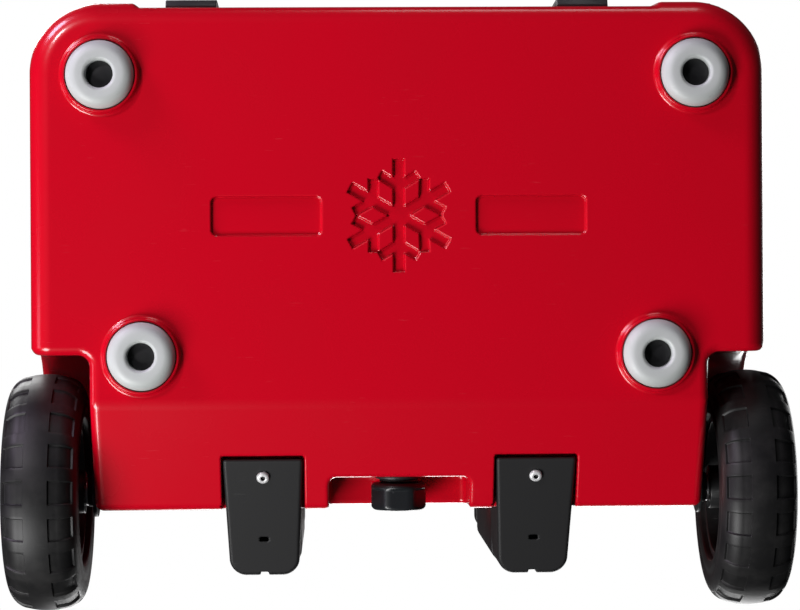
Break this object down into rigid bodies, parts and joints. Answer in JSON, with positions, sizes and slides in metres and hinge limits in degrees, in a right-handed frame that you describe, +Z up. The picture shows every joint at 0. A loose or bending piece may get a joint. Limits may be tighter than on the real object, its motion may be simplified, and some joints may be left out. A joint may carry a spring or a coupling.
{
  "type": "wheeled cooler chest",
  "caption": "Foam-filled moulded cooler chest with a hinged lid, pull latches, drain plug, wheels and a telescoping pull handle.",
  "frame": {"origin": "on the ground under the middle of the chest, centre of the bottom of the bounding box", "axes": "+Z up, +X along the long side to the right seen from the front, -Y towards the front with the latches, +Y towards the wheels"},
  "size_m": [0.6098, 0.5166, 0.512],
  "materials": {
    "moulded_shell": "satin",
    "insulation": "foam",
    "seal_rubber": "matte",
    "foot_rubber": "satin",
    "steel": "satin",
    "black_plastic": "fine grain",
    "latch_plastic": "satin",
    "tube_aluminium": "anodised",
    "grip_rubber": "matte",
    "grey_plastic": "satin",
    "tyre_rubber": "matte",
    "rim_plastic": "satin",
    "drain_plastic": "satin"
  },
  "bodies": {
    "chest": {"body_shell": "moulded_shell", "foam_front": "insulation", "foam_back": "insulation", "foam_left": "insulation", "foam_right": "insulation", "foam_floor": "insulation", "foot_front_left": "foot_rubber", "foot_front_right": "foot_rubber", "foot_rear_left": "foot_rubber", "foot_rear_right": "foot_rubber", "foot_screws": "steel", "lower_bracket_left": "black_plastic", "lower_bracket_right": "black_plastic", "rail_cover_left": "black_plastic", "rail_cover_right": "black_plastic", "upper_bracket_left": "black_plastic", "upper_bracket_right": "black_plastic", "chest_screws": "steel", "outer_tube_left": "tube_aluminium", "outer_tube_right": "tube_aluminium", "axle_left": "steel", "axle_right": "steel", "axle_plates": "black_plastic", "axle_washers": "steel", "drain_bushing": "black_plastic", "hinge_body_leaf_left": "black_plastic", "hinge_body_leaf_right": "black_plastic", "hinge_pins": "steel", "keepers": "black_plastic"},
    "lid": {"lid_shell": "moulded_shell", "lid_foam": "insulation", "lid_gasket": "seal_rubber", "hinge_lid_leaf_left": "black_plastic", "hinge_lid_leaf_right": "black_plastic", "latch_base_left": "black_plastic", "latch_base_right": "black_plastic", "latch_pins": "steel", "lid_screws": "steel"},
    "latch_left": {"latch_lever_left": "latch_plastic"},
    "latch_right": {"latch_lever_right": "latch_plastic"},
    "wheel_left": {"tyre_left": "tyre_rubber", "rim_left": "rim_plastic", "hub_cap_left": "grey_plastic"},
    "wheel_right": {"tyre_right": "tyre_rubber", "rim_right": "rim_plastic", "hub_cap_right": "grey_plastic"},
    "handle_middle": {"mid_tube_left": "tube_aluminium", "mid_tube_right": "tube_aluminium", "mid_collars": "black_plastic"},
    "handle_top": {"inner_tube_left": "tube_aluminium", "inner_tube_right": "tube_aluminium", "lock_plugs": "grey_plastic", "handle_bar": "black_plastic", "handle_sleeves": "grip_rubber", "button_spring": "steel"},
    "release": {"release_button": "grey_plastic", "release_yoke": "steel", "release_rods": "steel"},
    "drain_cap_slide": {"drain_washer": "seal_rubber"},
    "drain_cap": {"drain_plug": "drain_plastic"}
  },
  "joints": [
    {"name": "lid_hinge", "type": "hinge", "parent": "chest", "child": "lid", "pos_m": [0, 0.188, 0.434], "axis": [-1, 0, 0], "range_deg": [0, 95], "deforming": ["keepers"]},
    {"name": "latch_pivot_left", "type": "hinge", "parent": "lid", "child": "latch_left", "pos_m": [-0.177, -0.248, 0.462], "axis": [-1, 0, 0], "range_deg": [0, 60]},
    {"name": "latch_pivot_right", "type": "hinge", "parent": "lid", "child": "latch_right", "pos_m": [0.177, -0.248, 0.462], "axis": [-1, 0, 0], "range_deg": [0, 60]},
    {"name": "wheel_spin_left", "type": "hinge", "parent": "chest", "child": "wheel_left", "pos_m": [-0.27565, 0.1653, 0.094], "axis": [1, 0, 0], "continuous": true},
    {"name": "wheel_spin_right", "type": "hinge", "parent": "chest", "child": "wheel_right", "pos_m": [0.27565, 0.1653, 0.094], "axis": [1, 0, 0], "continuous": true},
    {"name": "handle_lower_slide", "type": "slide", "parent": "chest", "child": "handle_middle", "axis": [0, 0, -1], "range_m": [-0.23, 0]},
    {"name": "handle_upper_slide", "type": "slide", "parent": "handle_middle", "child": "handle_top", "axis": [0, 0, -1], "range_m": [-0.23, 0]},
    {"name": "release_push", "type": "slide", "parent": "handle_top", "child": "release", "axis": [0, 0, -1], "range_m": [0, 0.003], "stiffness_N_per_m": 800, "springref_m": -0.004, "deforming": ["button_spring"]},
    {"name": "drain_slide", "type": "slide", "parent": "chest", "child": "drain_cap_slide", "axis": [0, 1, 0], "range_m": [0, 0.0081]},
    {"name": "drain_turn", "type": "hinge", "parent": "drain_cap_slide", "child": "drain_cap", "pos_m": [0, 0.16, 0.077], "axis": [0, 1, 0], "range_deg": [0, 720]}
  ],
  "couplings": [
    {"joint": "drain_slide", "follows": "drain_turn", "m_per_rad": 0.00063662}
  ]
}
